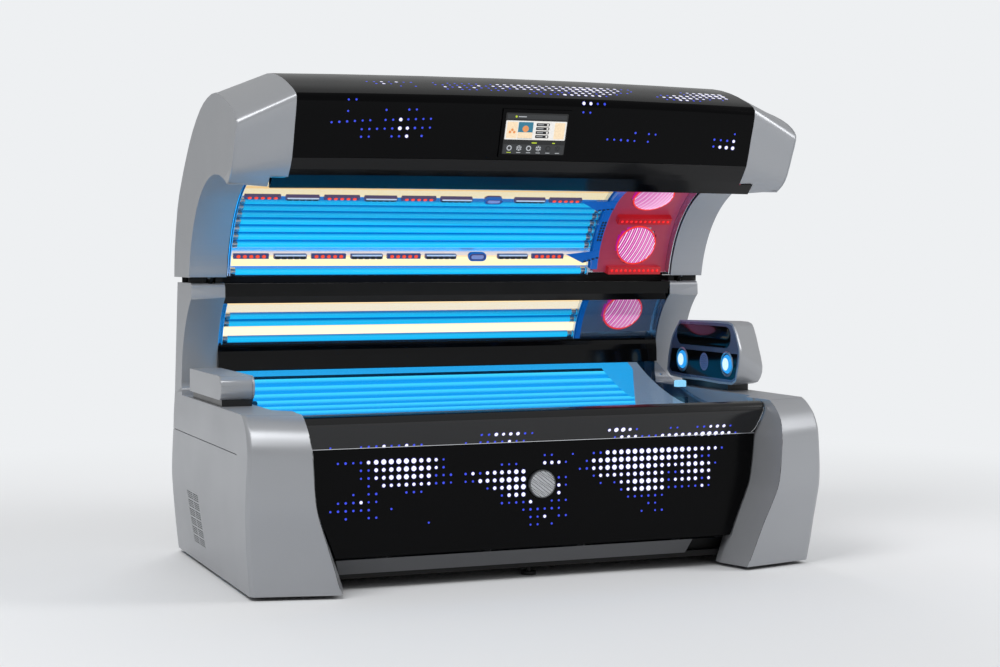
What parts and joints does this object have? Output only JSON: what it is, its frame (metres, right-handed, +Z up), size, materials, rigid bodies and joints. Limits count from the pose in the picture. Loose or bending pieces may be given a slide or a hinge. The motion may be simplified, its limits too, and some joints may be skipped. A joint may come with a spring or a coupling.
{
  "type": "tanning bed",
  "caption": "Lie-down tanning bed: curved acrylic bench of lamps between silver end casings, with a lamp wall behind and a hinged clamshell lamp canopy over it.",
  "frame": {"origin": "centre of the footprint, on the floor", "axes": "+X along the bed to the head end, +Y to the back, +Z up"},
  "size_m": [2.4, 1.402, 1.9921],
  "materials": {
    "silver_paint": "satin silver paint on moulded shells",
    "gloss_black": "piano black, high gloss",
    "satin_black": "satin black moulding",
    "smoked_plastic": "smoked gloss moulding",
    "kick_grey": "satin grey powder coat",
    "frame_steel": "grey powder coat on box section",
    "zinc_sheet": "zinc-plated sheet",
    "bright_steel": "polished",
    "reflector": "bright rolled aluminium",
    "acrylic": "clear acrylic, polished",
    "tanning_tube": "lit fluorescent tube",
    "warm_light": "lit warm light bar",
    "facial_lens": "lit ribbed lens",
    "led_red": "lit red light bar",
    "divider_blue": "blue moulded divider",
    "strip_violet": "violet-grey moulding",
    "circuit_board": "dark circuit board",
    "screen_glass": "dark touch glass"
  },
  "bodies": {
    "base": {"base_frame": "frame_steel", "levelling_feet": "satin_black", "left_foot_casing": "silver_paint", "right_foot_casing": "silver_paint", "left_column": "silver_paint", "right_column": "silver_paint", "left_vent_grille": "silver_paint", "right_vent_grille": "silver_paint", "kick_strip": "kick_grey", "front_rail": "gloss_black", "rail_trim": "bright_steel", "bottom_tray": "zinc_sheet", "back_panel": "satin_black", "mains_inlet": "satin_black", "ballast_tray": "zinc_sheet", "bench_reflector": "reflector", "bench_tubes_set": "tanning_tube", "bench_lampholders": "satin_black", "lying_pane": "acrylic", "pane_studs": "bright_steel", "side_top_rail": "gloss_black", "side_lower_rail": "gloss_black", "side_reflector": "reflector", "side_tubes": "tanning_tube", "side_light_bars": "warm_light", "side_pane": "acrylic", "side_facial_lamp": "facial_lens", "side_divider": "divider_blue", "head_pod_shell": "silver_paint", "head_pod_face": "smoked_plastic", "head_pod_slot": "gloss_black", "head_pod_speaker": "satin_black", "head_pod_foot": "satin_black", "foot_pod_shell": "silver_paint", "foot_pod_base": "satin_black", "hinge_pins": "bright_steel", "fan_housings": "satin_black", "panel_hinge_rod": "frame_steel"},
    "front_panel": {"front_panel": "gloss_black", "panel_led_board": "circuit_board"},
    "knob": {"panel_knob": "bright_steel"},
    "canopy": {"canopy_frame": "frame_steel", "left_canopy_cap": "silver_paint", "right_canopy_cap": "silver_paint", "canopy_top_shell": "gloss_black", "canopy_front_glass": "gloss_black", "canopy_lip": "gloss_black", "control_screen": "screen_glass", "canopy_reflector": "reflector", "canopy_tubes": "tanning_tube", "canopy_light_bars": "warm_light", "canopy_pane": "acrylic", "accessory_strips": "strip_violet", "canopy_divider": "divider_blue", "canopy_facial_lamps": "facial_lens", "canopy_led_bars": "led_red"},
    "front_nozzle": {"front_air_nozzle": "tanning_tube"},
    "rear_nozzle": {"rear_air_nozzle": "tanning_tube"},
    "left_fan": {"left_fan_rotor": "satin_black"},
    "right_fan": {"right_fan_rotor": "satin_black"}
  },
  "joints": [
    {"name": "canopy_lift", "type": "hinge", "parent": "base", "child": "canopy", "pos_m": [0, 0.44, 1.19], "axis": [1, 0, 0], "range_deg": [0, 50]},
    {"name": "front_panel_tilt", "type": "hinge", "parent": "base", "child": "front_panel", "pos_m": [0, -0.502, 0.14], "axis": [1, 0, 0], "range_deg": [0, 40]},
    {"name": "knob_turn", "type": "hinge", "parent": "front_panel", "child": "knob", "pos_m": [0, -0.52, 0.377], "axis": [0, 1, 0], "range_deg": [0, 90]},
    {"name": "front_nozzle_tilt", "type": "hinge", "parent": "base", "child": "front_nozzle", "pos_m": [1.06, -0.106, 0.799], "axis": [0, 0, 1], "range_deg": [-15, 15]},
    {"name": "rear_nozzle_tilt", "type": "hinge", "parent": "base", "child": "rear_nozzle", "pos_m": [1.06, 0.314, 0.799], "axis": [0, 0, 1], "range_deg": [-15, 15]},
    {"name": "left_fan_spin", "type": "hinge", "parent": "base", "child": "left_fan", "pos_m": [-1.12, 0.2795, 0.1995], "axis": [1, 0, 0], "continuous": true},
    {"name": "right_fan_spin", "type": "hinge", "parent": "base", "child": "right_fan", "pos_m": [1.12, 0.2795, 0.1995], "axis": [1, 0, 0], "continuous": true}
  ]
}
